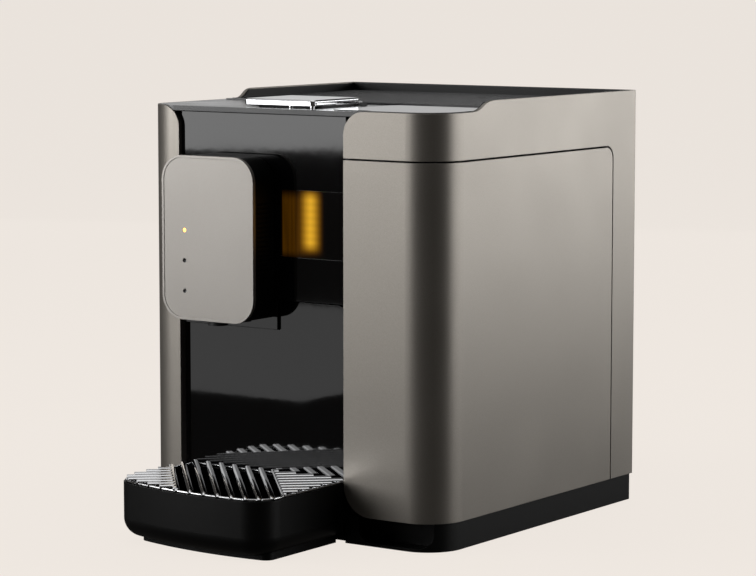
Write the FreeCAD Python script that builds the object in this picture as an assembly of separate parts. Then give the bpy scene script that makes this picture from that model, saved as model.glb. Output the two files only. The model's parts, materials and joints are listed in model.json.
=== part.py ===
# Countertop capsule coffee machine: a recess at the front left holds the brew head, the drip tray
# and the used-capsule container. The column on the right is a pull-out water-tank drawer.
# Axes: X to the right, Y to the rear, Z up. Until export, Y = 0 is the column's front face.
import FreeCAD, Part
import math
import os

Vec = FreeCAD.Vector

# Overall size
HALF_W = 125.6
DEPTH = 256.0
RAIL_TOP = 300.0
DECK_TOP = 293.0
DECK_T = 3.5
FRONT_R = 28.0
REAR_R = 2.0
WALL = 2.4
GAP = 0.4

# Base
FOOT_H = 0.5
BASE_TOP = 20.0
BASE_INSET = 2.0
FLOOR_TOP = 5.0
PULL_X = (58.5, 115.0)
PULL_DEPTH = 17.0
PULL_LOW = 2.6
PULL_R = 9.0

# Front recess and its panels
RECESS_X = (-92.4, 47.6)
RECESS_MID = sum(RECESS_X) / 2
FLANGE_Y = 9.0
FASCIA_Y = 3.5
FASCIA_T = 2.5
FASCIA_Z = (162.6, 289.0)
FASCIA_TAB_X = -10.4
FASCIA_TAB_Z = 141.9
STRIP_CORNER_R = 15.0
COLUMN_CORNER_R = 16.0
CHASSIS_BACK = 215.0
SHELF_Z = (163.0, 166.0)

# Seam round the tank drawer's panel
SEAM_Z = 261.0
SEAM_Y = 223.0
SEAM_GAP = 1.2
SEAM_R = 9.0
PANEL_FOOT_R = 21.0

# Polished plate on the deck
INLAY_LEFT = 33.0
INLAY_BACK = 90.0
INLAY_R = 22.0

# Status window
WINDOW_X = (-7.0, 46.6)
WINDOW_Z = (192.4, 238.3)
GUIDE_X = (10.0, 24.9)

# Brew head
HEAD_X = (-90.6, -11.9)
HEAD_MID = sum(HEAD_X) / 2
HEAD_Z = (147.1, 260.4)
HEAD_FRONT = -21.5
HEAD_R = 17.0
HEAD_TRAVEL = 25.0
HEAD_PLATE_T = 1.6
RIM_T = 1.8
NOZZLE_Y = -9.5
NECK_X = (-70.0, -45.0)
NECK_Z = (196.0, 212.0)
RAIL_X = (-70.0, -48.0)
RAIL_Y = 16.0
RAIL_R = 2.5
LED_X = -71.2
LED_Z = (209.0, 188.0, 167.0)
RUN_CLEAR = 0.05

# Lever and brew unit
BREW_X = -19.0
BREW_Z = 225.0
LEVER_HALF = 30.0
LEVER_Y = (17.0, 72.0)
LEVER_Z = (294.6, 298.6)
EAR_R = 5.0
PIVOT = (76.0, 290.0)
PIN_R = 3.0
CRANK = (87.0, 276.0)
CRANK_PIN_R = 2.0
SLOT_HALF = 17.5
SLOT_Y = (24.5, 46.5)
WELL_HALF = 31.0
WELL_FRONT = 22.0
PISTON_Y = (34.0, 46.0)

# Drip tray
TRAY_X = (-87.0, 47.2)
TRAY_FRONT = -92.0
TRAY_BOW_R = 273.0
TRAY_BOW_X = 2.0
TRAY_CORNER_R = 20.0
TRAY_BACK = 8.0
TRAY_Z = (3.6, 41.3)
TRAY_WALL = 2.2
TRAY_FILLET = 13.0
PLINTH_INSET = 13.5
PLINTH_REACH = 7.5
GRILL_Z = (41.4, 44.8)
GRILL_INSET = 0.8
GRILL_BACK = 5.0
GRILL_MID_Y = -42.0
SKIRT_LOW = 37.0
RIB_TURN = -49.0
RIB_PITCH = 8.7
SIDE_PITCH = 9.7
RIB_W = 4.2
SIDE_W = 6.0
ZONE_SPLIT = (-35.0, 33.6)

# Capsule container
BIN_Y = (5.7, 150.0)
BIN_Z = (6.0, 139.0)
BIN_FRONT_TOP = (141.5, 161.6)
BIN_STEP_X = -9.6

# Tank drawer
TANK_X = (57.0, 118.0)
TANK_Y = (28.0, 210.0)
TANK_Z = (28.0, 250.0)
DOCK_X = 87.0
DOCK_Z = 46.0
SPOUT_R = 5.0

# Rear face
INLET_X = -86.0
INLET_Z = 44.0
ROCKER_X = -50.0

# The origin is the centre of the underside of the whole machine's box.
TO_ORIGIN = Vec(0, -(TRAY_FRONT + DEPTH) / 2, 0)


def save(name, shape):
    solid = shape.removeSplitter()
    solid.translate(TO_ORIGIN)
    solid.exportStep("parts/" + name + ".step")


def box(x, y, z):
    return Part.makeBox(x[1] - x[0], y[1] - y[0], z[1] - z[0], Vec(x[0], y[0], z[0]))


def span(middle, half):
    return (middle - half, middle + half)


def rod(radius, start, end):
    along = Vec(*end) - Vec(*start)
    return Part.makeCylinder(radius, along.Length, Vec(*start), along)


def tube(outer, inner, start, end):
    return rod(outer, start, end).cut(rod(inner, start, end))


def fuse(shapes):
    return shapes[0].multiFuse(shapes[1:]) if len(shapes) > 1 else shapes[0]


def rounded_wire(x, y, radii):
    # Radii run front left, front right, rear right, rear left.
    corners = [(x[0], y[0]), (x[1], y[0]), (x[1], y[1]), (x[0], y[1])]
    edges = []
    ends = []
    for i, (cx, cy) in enumerate(corners):
        before = corners[i - 1]
        after = corners[(i + 1) % 4]
        corner = Vec(cx, cy, 0)
        to_before = (Vec(*before, 0) - corner).normalize()
        to_after = (Vec(*after, 0) - corner).normalize()
        r = radii[i]
        if r > 0.01:
            centre = corner + (to_before + to_after) * r
            middle = centre - (to_before + to_after).normalize() * r
            arc = Part.Arc(corner + to_before * r, middle, corner + to_after * r)
            edges.append(arc.toShape())
        ends.append((corner + to_before * r, corner + to_after * r))
    for i in range(4):
        edges.append(Part.LineSegment(ends[i - 1][1], ends[i][0]).toShape())
    return Part.Wire(Part.__sortEdges__(edges))


def rounded_block(x, y, z, radii):
    face = Part.Face(rounded_wire(x, y, radii))
    face.translate(Vec(0, 0, z[0]))
    return face.extrude(Vec(0, 0, z[1] - z[0]))


def upright_plate(x, z, y, radii):
    # A rounded rectangle in the XZ plane; radii run bottom left, bottom right, top right, top left.
    plate = rounded_block(x, z, (-y[1], -y[0]), radii)
    plate.rotate(Vec(0, 0, 0), Vec(1, 0, 0), 90)
    return plate


def body_block(inset, z):
    front = max(FRONT_R - inset, 0)
    rear = max(REAR_R - inset, 0)
    x = (-HALF_W + inset, HALF_W - inset)
    return rounded_block(x, (inset, DEPTH - inset), z, (front, front, rear, rear))


def body_ring(outer, inner, z):
    return body_block(outer, z).cut(body_block(inner, z))


def side_profile(points, x):
    # A closed outline in the YZ plane, pushed along X.
    wire = Part.makePolygon([Vec(x[0], y, z) for y, z in points + points[:1]])
    return Part.Face(wire).extrude(Vec(x[1] - x[0], 0, 0))


def s_curve_tool(x, start_y, low_z, end_y, high_z):
    # What lies above a rail that climbs in a smooth S from start_y to end_y.
    start = Vec(x[0], start_y, low_z)
    end = Vec(x[0], end_y, high_z)
    middle = (start + end) * 0.5
    reach = Vec(0, (end_y - start_y) * 0.45, 0)
    rise = Part.BezierCurve()
    rise.setPoles([start, start + reach, middle, end - reach, end])
    top = RAIL_TOP + 20
    corners = [end, Vec(x[0], end_y, top), Vec(x[0], -20, top), Vec(x[0], -20, low_z), start]
    edges = [rise.toShape()]
    for a, b in zip(corners, corners[1:]):
        edges.append(Part.LineSegment(a, b).toShape())
    return Part.Face(Part.Wire(edges)).extrude(Vec(x[1] - x[0], 0, 0))


def hose(points, radius, bend):
    # Straight runs joined by tangent arcs.
    path = [Vec(*p) for p in points]
    edges = []
    last = path[0]
    for before, corner, after in zip(path, path[1:], path[2:]):
        back = (before - corner).normalize()
        on = (after - corner).normalize()
        start = corner + back * bend
        end = corner + on * bend
        middle = corner + (back + on) * bend - (back + on).normalize() * bend
        edges.append(Part.LineSegment(last, start).toShape())
        edges.append(Part.Arc(start, middle, end).toShape())
        last = end
    edges.append(Part.LineSegment(last, path[-1]).toShape())
    ring = Part.Wire(Part.Circle(path[0], path[1] - path[0], radius).toShape())
    return Part.Wire(edges).makePipeShell([ring], True, False)


# ---------------------------------------------------------------- base and outer shells

def base_plinth():
    outer = body_block(BASE_INSET, (FOOT_H, BASE_TOP - GAP))
    hollow = body_block(BASE_INSET + WALL, (FLOOR_TOP, BASE_TOP))
    base = outer.cut(hollow)
    wall_x = (PULL_X[0] - WALL, PULL_X[1] + WALL)
    pull_wall = box(wall_x, (0, PULL_DEPTH + WALL), (FOOT_H, BASE_TOP - GAP))
    base = base.fuse(pull_wall.common(outer))
    pull_radii = (PULL_R, PULL_R, 0.0, 0.0)
    pull = upright_plate(PULL_X, (PULL_LOW, BASE_TOP + 10), (-5, PULL_DEPTH), pull_radii)
    recess = box((RECESS_X[0], RECESS_X[1]), (-5, TRAY_BACK + GAP), (0, 30))
    doorway = box((RECESS_X[0], RECESS_X[1]), (-5, 12), (FLOOR_TOP, 30))
    base = base.cut(pull).cut(recess).cut(doorway)
    for x in (RECESS_X[0] - WALL, RECESS_X[1]):
        base = base.fuse(box((x, x + WALL), (BASE_INSET, 30), (FOOT_H, BASE_TOP - GAP)))
    return base.cut(fuse(foot_solids()))


def foot_solids():
    feet = []
    for x in (-100.0, 100.0):
        for y in (40.0, 226.0):
            feet.append(rod(9, (x, y, 0), (x, y, FOOT_H + 1)))
    return feet


def left_side_shell():
    ring = body_ring(0, WALL, (BASE_TOP, RAIL_TOP))
    keep_front = box((-200, RECESS_X[0]), (-10, 128), (0, 400))
    keep_rear = box((-200, -HALF_W + REAR_R + 2), (128, 300), (0, 400))
    wall = ring.common(keep_front.fuse(keep_rear))
    wall = wall.cut(s_curve_tool((-200, 0), 104, DECK_TOP, 127, RAIL_TOP))
    radii = (0.0, 0.0, STRIP_CORNER_R, 0.0)
    face = upright_plate((-200, RECESS_X[0]), (BASE_TOP, DECK_TOP), (0, FLANGE_Y), radii)
    inner_radii = (0.0, 0.0, STRIP_CORNER_R - WALL, 0.0)
    hollow = upright_plate((-200, RECESS_X[0] - WALL), (0, DECK_TOP - WALL), (WALL, 20), inner_radii)
    flange = face.cut(hollow).common(body_block(0, (BASE_TOP, DECK_TOP)))
    outside_face = box((-107.5, 0), (-5, WALL + 0.1), (BASE_TOP, RAIL_TOP)).cut(face)
    return wall.cut(outside_face).fuse(flange)


def seam_outline(grow, x):
    # The drawer panel's side outline, widened by a gap; its upper rear corner is round.
    y = (-20, SEAM_Y + grow)
    z = (0, SEAM_Z + grow)
    block = rounded_block(y, z, x, (0, 0, SEAM_R + grow, 0))
    block.rotate(Vec(0, 0, 0), Vec(1, 1, 1), 120)
    return block


def right_side_shell():
    ring = body_ring(0, WALL, (BASE_TOP, RAIL_TOP))
    keep_front = box((RECESS_X[1], 200), (-10, 128), (0, 400))
    keep_rear = box((HALF_W - REAR_R - 2, 200), (128, 300), (0, 400))
    wall = ring.common(keep_front.fuse(keep_rear))
    wall = wall.cut(s_curve_tool((0, 200), 36, DECK_TOP, 68, RAIL_TOP))
    radii = (0.0, 0.0, 0.0, COLUMN_CORNER_R)
    face_z = (SEAM_Z - 40, DECK_TOP)
    face = upright_plate((RECESS_X[1], 200), face_z, (0, FLANGE_Y), radii)
    inner_radii = (0.0, 0.0, 0.0, COLUMN_CORNER_R - WALL)
    hollow_z = (face_z[0] - 1, DECK_TOP - WALL)
    hollow = upright_plate((RECESS_X[1] + WALL, 200), hollow_z, (WALL, 20), inner_radii)
    flange = face.cut(hollow).common(body_block(0, face_z))
    outside_face = box((0, RECESS_X[1] + COLUMN_CORNER_R), (-5, WALL + 0.1), face_z).cut(face)
    shell = wall.cut(outside_face).fuse(flange)
    return shell.cut(seam_outline(SEAM_GAP / 2, (0, 200)))


def rear_vents():
    slots = []
    for z in range(196, 272, 8):
        slots.append(upright_plate((-80, 12), (z, z + 3.2), (DEPTH - 10, DEPTH + 5), (1.5,) * 4))
    return slots


def screw_places():
    places = []
    for x in (-104.0, 104.0):
        for z in (34.0, 150.0, 276.0):
            places.append((x, z))
    return places


def rear_cover():
    half = HALF_W - REAR_R - 2 - GAP
    cover = body_ring(0, WALL, (BASE_TOP, RAIL_TOP)).common(box((-half, half), (128, 300), (0, 400)))
    holes = rear_vents()
    for x, z in screw_places():
        holes.append(rod(1.6, (x, 240, z), (x, 260, z)))
        holes.append(rod(3.0, (x, DEPTH - 1.2, z), (x, 260, z)))
    holes.append(box(span(INLET_X, 14.2), (240, 260), span(INLET_Z, 12.2)))
    holes.append(box(span(ROCKER_X, 10.7), (240, 260), span(INLET_Z, 7.2)))
    return cover.cut(fuse(holes))


def rear_screws():
    screws = []
    for x, z in screw_places():
        head = rod(3, (x, DEPTH, z), (x, DEPTH - 1.2, z))
        shank = rod(1.5, (x, DEPTH - 1.2, z), (x, DEPTH - 12, z))
        screws.append(head.fuse(shank).cut(rod(1, (x, DEPTH + 1, z), (x, DEPTH - 0.8, z))))
    return screws


def top_deck(shells):
    z = (DECK_TOP - DECK_T, DECK_TOP)
    deck = body_block(WALL, z)
    lip = box((RECESS_X[0] - STRIP_CORNER_R, RECESS_X[1] + COLUMN_CORNER_R), (0.6, 20), z)
    deck = deck.fuse(lip.common(body_block(0.6, z)))
    well = rounded_block(span(BREW_X, WELL_HALF), (WELL_FRONT, 84.0), (280, 300), (6, 6, 2, 2))
    return deck.cut(well).cut(fuse(shells))


def rail_liner():
    ring = body_ring(WALL, WALL + 1.6, (DECK_TOP, RAIL_TOP - 0.8))
    ring = ring.cut(s_curve_tool((-200, 0), 106, DECK_TOP, 129, RAIL_TOP + 1))
    return ring.cut(s_curve_tool((0, 200), 38, DECK_TOP, 70, RAIL_TOP + 1))


def cup_plate():
    z = (DECK_TOP, DECK_TOP + 0.8)
    plate = body_block(WALL + 1.6 + GAP, z)
    return plate.cut(box((-200, 200), (-10, INLAY_BACK + 1.0), z))


def top_inlay():
    # Polished plate over the front of the column.
    z = (DECK_TOP, DECK_TOP + 0.5)
    corner = rounded_block((INLAY_LEFT, 200), (-10, INLAY_BACK), z, (0, 0, 0, INLAY_R))
    inlay = body_block(WALL + 1.6 + GAP, z).common(corner)
    front_corner = box((INLAY_LEFT, RECESS_X[1] + COLUMN_CORNER_R), (-10, FLANGE_Y + 1), z)
    return inlay.cut(front_corner)


# ---------------------------------------------------------------- recess, fascia and chassis

def fascia():
    x = (RECESS_X[0] + GAP / 2, RECESS_X[1] - GAP / 2)
    panel = box(x, (FASCIA_Y, FASCIA_Y + FASCIA_T), FASCIA_Z)
    window = upright_plate(WINDOW_X, WINDOW_Z, (0, 20), (1.5,) * 4)
    tab = box((x[0], FASCIA_TAB_X), (FASCIA_Y, FASCIA_Y + FASCIA_T), (FASCIA_TAB_Z, FASCIA_Z[0]))
    slot_z = (NECK_Z[0] - 1, NECK_Z[1] + HEAD_TRAVEL + 1)
    slot = box((NECK_X[0] - 1, NECK_X[1] + 1), (0, 20), slot_z)
    return panel.fuse(tab).cut(window).cut(slot)


def status_window():
    x = (WINDOW_X[0] + 0.15, WINDOW_X[1] - 0.15)
    z = (WINDOW_Z[0] + 0.15, WINDOW_Z[1] - 0.15)
    return upright_plate(x, z, (FASCIA_Y + 0.1, FASCIA_Y + FASCIA_T), (1.35,) * 4)


def light_guide():
    y = FASCIA_Y + FASCIA_T + 0.6
    guide = box(GUIDE_X, (y + 1.5, y + 3.5), (193.4, 237.4))
    beads = []
    for i in range(9):
        z = 197.0 + 4.7 * i
        beads.append(rod(1.7, (GUIDE_X[0] + 1, y + 1.7, z), (GUIDE_X[1] - 1, y + 1.7, z)))
    return guide.fuse(fuse(beads))


def led_board():
    y = FASCIA_Y + FASCIA_T + 4.6
    board = box((GUIDE_X[0] - 2.2, GUIDE_X[1] + 4), (y, y + 1.6), (186.0, 246.0))
    chip_x = span(sum(GUIDE_X) / 2, 1.5)
    chips = [box(chip_x, (y - 0.5, y), span(197.0 + 9.4 * i, 1.5)) for i in range(5)]
    return board.fuse(fuse(chips))


def inner_chassis():
    z = (FLOOR_TOP, DECK_TOP - DECK_T - 0.1)
    left = box((RECESS_X[0] - WALL, RECESS_X[0]), (FLANGE_Y, CHASSIS_BACK), z)
    right = box((RECESS_X[1], RECESS_X[1] + WALL), (FLANGE_Y, CHASSIS_BACK), z)
    right = right.fuse(box((RECESS_X[1], RECESS_X[1] + WALL), (WALL + GAP, FLANGE_Y), (42.0, SEAM_Z)))
    rear = box(RECESS_X, (CHASSIS_BACK - WALL, CHASSIS_BACK), z)
    shelf = box(RECESS_X, (FASCIA_Y + FASCIA_T + 0.5, CHASSIS_BACK), SHELF_Z)
    shelf = shelf.cut(box(span(BREW_X, 22), (20.0, 74.0), (160, 170)))
    shelf = shelf.cut(rod(RAIL_R, (RAIL_X[0], RAIL_Y, 160), (RAIL_X[0], RAIL_Y, 170)))
    shelf = shelf.cut(rod(RAIL_R, (RAIL_X[1], RAIL_Y, 160), (RAIL_X[1], RAIL_Y, 170)))
    rear = rear.cut(rod(4, (10, 200, 190), (10, 230, 190)))
    walls = left.fuse(right).fuse(rear).fuse(shelf)
    ends = box((RECESS_X[0] - 1, RECESS_X[0] + 0.01), (BASE_INSET, 30), (0, BASE_TOP))
    return walls.cut(ends).cut(base_plinth())


def capsule_slot_frame():
    # Plate under the deck that carries the lever's ears and guides a capsule down to the chamber.
    z = (284.4, 287.0)
    plate = box(span(BREW_X, 33), (14.0, 96.0), z)
    rim = box(span(BREW_X, 33), (14.0, 96.0), (287.0, DECK_TOP - DECK_T))
    rim = rim.cut(box(span(BREW_X, WELL_HALF), (17.0, 94.0), (280, 300)))
    guide = box(span(BREW_X, SLOT_HALF + 1.4), (SLOT_Y[0] - 1.4, SLOT_Y[1] + 1.4), (249.0, z[1]))
    ears = []
    for side in (-1, 1):
        x = sorted((BREW_X + side * 28.2, BREW_X + side * 30.6))
        foot = box(x, span(PIVOT[0], EAR_R), (z[1], PIVOT[1]))
        ears.append(foot.fuse(rod(EAR_R, (x[0], *PIVOT), (x[1], *PIVOT))))
    frame = fuse([plate, rim, guide] + ears)
    frame = frame.cut(box(span(BREW_X, SLOT_HALF), SLOT_Y, (200, 300)))
    for side in (-1, 1):
        x = sorted((BREW_X + side * 23.4, BREW_X + side * 28.0))
        frame = frame.cut(box(x, (58.0, 93.0), (280, 300)))
        frame = frame.cut(box(sorted((BREW_X + side * 19.8, BREW_X + side * 24.0)), (56, 93), (280, 300)))
    pin_bore = rod(PIN_R + RUN_CLEAR, (BREW_X - 40, *PIVOT), (BREW_X + 40, *PIVOT))
    return frame.cut(pin_bore)


def waste_chute():
    x = span(BREW_X, 21.5)
    chute = box(x, (21.0, 73.0), (SHELF_Z[0] + 0.4, 196.0))
    inside = box(span(BREW_X, 19.9), (22.6, 71.4), (150, 200))
    flange = box(span(BREW_X, 25), (18.0, 77.0), (SHELF_Z[1], SHELF_Z[1] + 2))
    return chute.fuse(flange).cut(inside)


# ---------------------------------------------------------------- brew unit and water circuit

def brew_chamber():
    cup = rod(19, (BREW_X, 47.0, BREW_Z), (BREW_X, 70.0, BREW_Z))
    cup = cup.fuse(box(span(BREW_X, 19.5), (52.0, 70.0), (198.0, 248.0)))
    cavity = Part.makeCone(16.5, 12.5, 17.0, Vec(BREW_X, 47.0, BREW_Z), Vec(0, 1, 0))
    seat = tube(18.4, 16.4, (BREW_X, 47.0, BREW_Z), (BREW_X, 48.4, BREW_Z))
    feed = rod(3, (BREW_X, 66.0, 212.0), (BREW_X, 71.0, 212.0))
    return cup.cut(cavity).cut(seat).cut(feed)


def chamber_seal():
    return tube(18.4, 16.6, (BREW_X, 47.2, BREW_Z), (BREW_X, 48.4, BREW_Z))


def guide_places():
    return [(BREW_X - 12, BREW_Z - 21), (BREW_X + 12, BREW_Z - 21)]


def piston_guides():
    rods = [rod(2.5, (x, 10.5, z), (x, 52.0, z)) for x, z in guide_places()]
    tie = box(span(BREW_X, 18), (9.0, 11.0), (BREW_Z - 25, BREW_Z - 17))
    return rods + [tie.cut(fuse(rods))]


def thermoblock():
    block = box((-84, -42), (112, 182), (184, 226))
    fins = [box((-84, -42), (118 + 9 * i, 122 + 9 * i), (226, 230)) for i in range(7)]
    legs = [box((x, x + 4), (120, 174), (SHELF_Z[1], 184)) for x in (-82, -48)]
    ports = [rod(4.2, (-50, 112, 200), (-50, 104, 200)), rod(4.2, (-72, 112, 212), (-72, 104, 212))]
    return fuse([block] + fins + legs + ports)


def pump_body():
    x, y = 10.0, 150.0
    case = box(span(x, 19), span(y, 19), (186, 224))
    case = case.fuse(rod(12, (x, y, 176), (x, y, 240)))
    case = case.fuse(rod(5, (x, y, 240), (x, y, 250)))
    return case.cut(rod(7, (x, y, 184), (x, y, 232))).cut(rod(2.4, (x, y, 232), (x, y, 252)))


def pump_piston():
    x, y = 10.0, 150.0
    return rod(6.5, (x, y, 196), (x, y, 222)).fuse(rod(2.2, (x, y, 222), (x, y, 236)))


def pump_spring():
    x, y = 10.0, 150.0
    coil = Part.makeHelix(1.9, 10.4, 5.2)
    wire = Part.Wire(Part.Circle(Vec(5.2, 0, 0), Vec(0, 1, 0), 0.55).toShape())
    spring = Part.Wire(coil.Edges).makePipeShell([wire], True, True)
    spring.translate(Vec(x, y, 184.8))
    return spring


def pump_mount():
    x, y = 10.0, 150.0
    return rod(20, (x, y, SHELF_Z[1]), (x, y, 176)).cut(rod(5, (x, y, 160), (x, y, 180)))


def flow_meter():
    x, y, z = 10.0, 232.0, 120.0
    puck = rod(16, (x, y - 7, z), (x, y + 7, z))
    return puck.fuse(rod(4, (x, y, z - 24), (x, y, z + 24)))


def water_hoses():
    x = 10.0
    rise = hose([(DOCK_X - 13, 232, DOCK_Z), (x, 232, DOCK_Z), (x, 232, 96)], 3.0, 9.0)
    feed_path = [(x, 232, 144), (x, 232, 190), (x, 196, 190), (x, 196, 262), (x, 150, 262), (x, 150, 250)]
    feed = hose(feed_path, 3.0, 9.0)
    link_path = [(29, 162, 200), (38, 162, 200), (38, 92, 200), (-50, 92, 200), (-50, 104, 200)]
    pressure = hose(link_path, 2.5, 8.0)
    brew_path = [(-72, 104, 212), (-72, 84, 212), (BREW_X, 84, 212), (BREW_X, 70, 212)]
    brew = hose(brew_path, 2.5, 8.0)
    outlet_path = [(BREW_X - 19.5, 66, 208), (-59, 66, 208), (-59, 66, 270)]
    outlet_path += [(-59, RAIL_Y, 270), (-59, RAIL_Y, 258)]
    outlet = hose(outlet_path, 2.5, 8.0)
    return [rise, feed, pressure, brew, outlet]


def outlet_hose():
    return rod(2.5, (-59, RAIL_Y, 222.2), (-59, RAIL_Y, 254.0))


def control_board():
    board = box((-90.6, -89.0), (92, 200), (176, 272))
    chips = []
    for y, z, size, tall in ((104, 190, 12, 4), (140, 200, 16, 3), (170, 240, 14, 3), (118, 240, 18, 4)):
        chips.append(box((-89.0, -89.0 + tall), (y, y + size), (z, z + size)))
    posts = [rod(2, (RECESS_X[0], y, z), (-90.6, y, z)) for y in (98, 194) for z in (182, 266)]
    return fuse([board] + chips + posts)


def power_board():
    board = box((-98.4, -96.8), (70, 200), (70, 200))
    chips = []
    for y, z, size, tall in ((80, 82, 26, 16), (120, 90, 18, 12), (160, 90, 30, 14), (90, 150, 22, 12)):
        chips.append(box((-98.4 - tall, -98.4), (y, y + size), (z, z + size)))
    posts = [rod(2, (-96.8, y, z), (RECESS_X[0] - WALL, y, z)) for y in (76, 194) for z in (76, 194)]
    return fuse([board] + chips + posts)


# ---------------------------------------------------------------- brew head

def head_rim():
    y = (HEAD_FRONT, HEAD_FRONT + 3.0)
    outer = upright_plate(HEAD_X, HEAD_Z, y, (HEAD_R,) * 4)
    x = (HEAD_X[0] + RIM_T, HEAD_X[1] - RIM_T)
    z = (HEAD_Z[0] + RIM_T, HEAD_Z[1] - RIM_T)
    return outer.cut(upright_plate(x, z, (y[0] - 1, y[1] + 1), (HEAD_R - RIM_T,) * 4))


def head_plate():
    x = (HEAD_X[0] + RIM_T, HEAD_X[1] - RIM_T)
    z = (HEAD_Z[0] + RIM_T, HEAD_Z[1] - RIM_T)
    y = (HEAD_FRONT + 0.3, HEAD_FRONT + 0.3 + HEAD_PLATE_T)
    plate = upright_plate(x, z, y, (HEAD_R - RIM_T,) * 4)
    for led_z in LED_Z:
        plate = plate.cut(rod(1.5, (LED_X, y[0] - 1, led_z), (LED_X, y[1] + 1, led_z)))
    return plate


def led_lenses():
    y = (HEAD_FRONT + 0.3, HEAD_FRONT + 4.0)
    return [rod(1.5, (LED_X, y[0], z), (LED_X, y[1], z)) for z in LED_Z]


def head_housing():
    x = (HEAD_X[0] + 0.6, HEAD_X[1] - 0.6)
    z = (HEAD_Z[0] + 0.6, HEAD_Z[1] - 0.6)
    y = (HEAD_FRONT + 3.0, FASCIA_Y - 0.6)
    case = upright_plate(x, z, y, (HEAD_R - 0.6,) * 4)
    inner_x = (x[0] + 2, x[1] - 2)
    inner_z = (z[0] + 2, z[1] - 2)
    case = case.cut(upright_plate(inner_x, inner_z, (y[0] - 1, y[1] - 2), (HEAD_R - 2.6,) * 4))
    slots = []
    for side_x in x:
        for i in range(16):
            groove_z = 180.0 + 3.25 * i
            slots.append(rod(0.7, (side_x, -16, groove_z), (side_x, 1, groove_z)))
    neck = box((NECK_X[0] + 0.5, NECK_X[1] - 0.5), (-1, 8), (NECK_Z[0] + 0.5, NECK_Z[1] - 0.5))
    nozzle_hole = rod(7, (HEAD_MID, NOZZLE_Y, 140), (HEAD_MID, NOZZLE_Y, 155))
    return case.cut(fuse(slots)).cut(neck).cut(nozzle_hole)


def touch_board():
    board = box((-84, -62), (HEAD_FRONT + 4.0, HEAD_FRONT + 5.4), (158, 222))
    keys = [box((-69, -63), (HEAD_FRONT + 2.0, HEAD_FRONT + 4.0), span(z, 4)) for z in LED_Z]
    return board.fuse(fuse(keys))


def spout_nozzle():
    body = rod(7, (HEAD_MID, NOZZLE_Y, 143.6), (HEAD_MID, NOZZLE_Y, 160.0))
    body = body.fuse(rod(9, (HEAD_MID, NOZZLE_Y, 149.7), (HEAD_MID, NOZZLE_Y, 152.0)))
    return body.cut(rod(3.4, (HEAD_MID, NOZZLE_Y, 140.0), (HEAD_MID, NOZZLE_Y, 157.0)))


def head_carriage():
    y = (FASCIA_Y + FASCIA_T + 0.5, 20.5)
    x = (-75.0, -43.4)
    plate = box(x, y, (188.0, 222.0))
    neck_x = (NECK_X[0] + 0.5, NECK_X[1] - 0.5)
    neck = box(neck_x, (FASCIA_Y - 2.6, y[0]), (NECK_Z[0] + 0.5, NECK_Z[1] - 0.5))
    carriage = plate.fuse(neck)
    for rail_x in RAIL_X:
        bore = rod(RAIL_R + RUN_CLEAR, (rail_x, RAIL_Y, 180), (rail_x, RAIL_Y, 230))
        carriage = carriage.cut(bore)
    return carriage


def head_rails():
    return [rod(RAIL_R, (x, RAIL_Y, SHELF_Z[0]), (x, RAIL_Y, 258.0)) for x in RAIL_X]


def rail_bracket():
    plate = box((-76, -43.4), (FASCIA_Y + FASCIA_T, 21), (254.0, 258.0))
    for x in RAIL_X:
        plate = plate.cut(rod(RAIL_R, (x, RAIL_Y, 250), (x, RAIL_Y, 260)))
    return plate


# ---------------------------------------------------------------- lever and piston

def lever_plate():
    plate = rounded_block(span(BREW_X, LEVER_HALF), LEVER_Y, LEVER_Z, (3.5, 3.5, 3, 3))
    top = [edge for edge in plate.Edges if edge.BoundBox.ZMin > LEVER_Z[1] - 0.01]
    return plate.makeFillet(1.4, top)


def lever_frame():
    z = (288.6, LEVER_Z[0])
    half = LEVER_HALF - 3.2
    outer = rounded_block(span(BREW_X, half), (27.0, 71.0), z, (5, 5, 0, 0))
    inner = rounded_block(span(BREW_X, half - 2.4), (29.4, 68.0), (280, 293.4), (3, 3, 0, 0))
    return outer.cut(inner)


def lever_arms():
    arms = []
    for side in (-1, 1):
        x = sorted((BREW_X + side * 24.2, BREW_X + side * 26.7))
        hub = rod(6, (x[0], *PIVOT), (x[1], *PIVOT))
        toe = rod(4.5, (x[0], *CRANK), (x[1], *CRANK))
        web = side_profile([(70.5, 288.4), (84.0, 273.0), (91.0, 278.0), (81.0, 294.0)], x)
        head = box(x, (71.0, 76.0), (288.6, LEVER_Z[0]))
        arm = fuse([hub, toe, web, head]).cut(rod(PIN_R, (x[0] - 1, *PIVOT), (x[1] + 1, *PIVOT)))
        stub_x = sorted((BREW_X + side * 20.8, BREW_X + side * 24.2))
        arm = arm.fuse(rod(CRANK_PIN_R, (stub_x[0], *CRANK), (stub_x[1], *CRANK)))
        arms.append(arm.cut(lever_frame()))
    return arms


def lever_pin():
    return rod(PIN_R, (BREW_X - 30.6, *PIVOT), (BREW_X + 30.6, *PIVOT))


def lever_bumpers():
    studs = []
    for x in (BREW_X + 9.2, BREW_X + 27.0):
        studs.append(rod(1.6, (x, 19.6, DECK_TOP + 0.1), (x, 19.6, LEVER_Z[0])))
    return studs


def brew_piston():
    block = box(span(BREW_X, 20), PISTON_Y, (BREW_Z - 25, BREW_Z + 20))
    face = rod(16, (BREW_X, PISTON_Y[1], BREW_Z), (BREW_X, PISTON_Y[1] + 0.6, BREW_Z))
    piston = block.fuse(face)
    for x, z in guide_places():
        piston = piston.cut(rod(2.5 + RUN_CLEAR, (x, 20, z), (x, 60, z)))
    return piston


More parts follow.
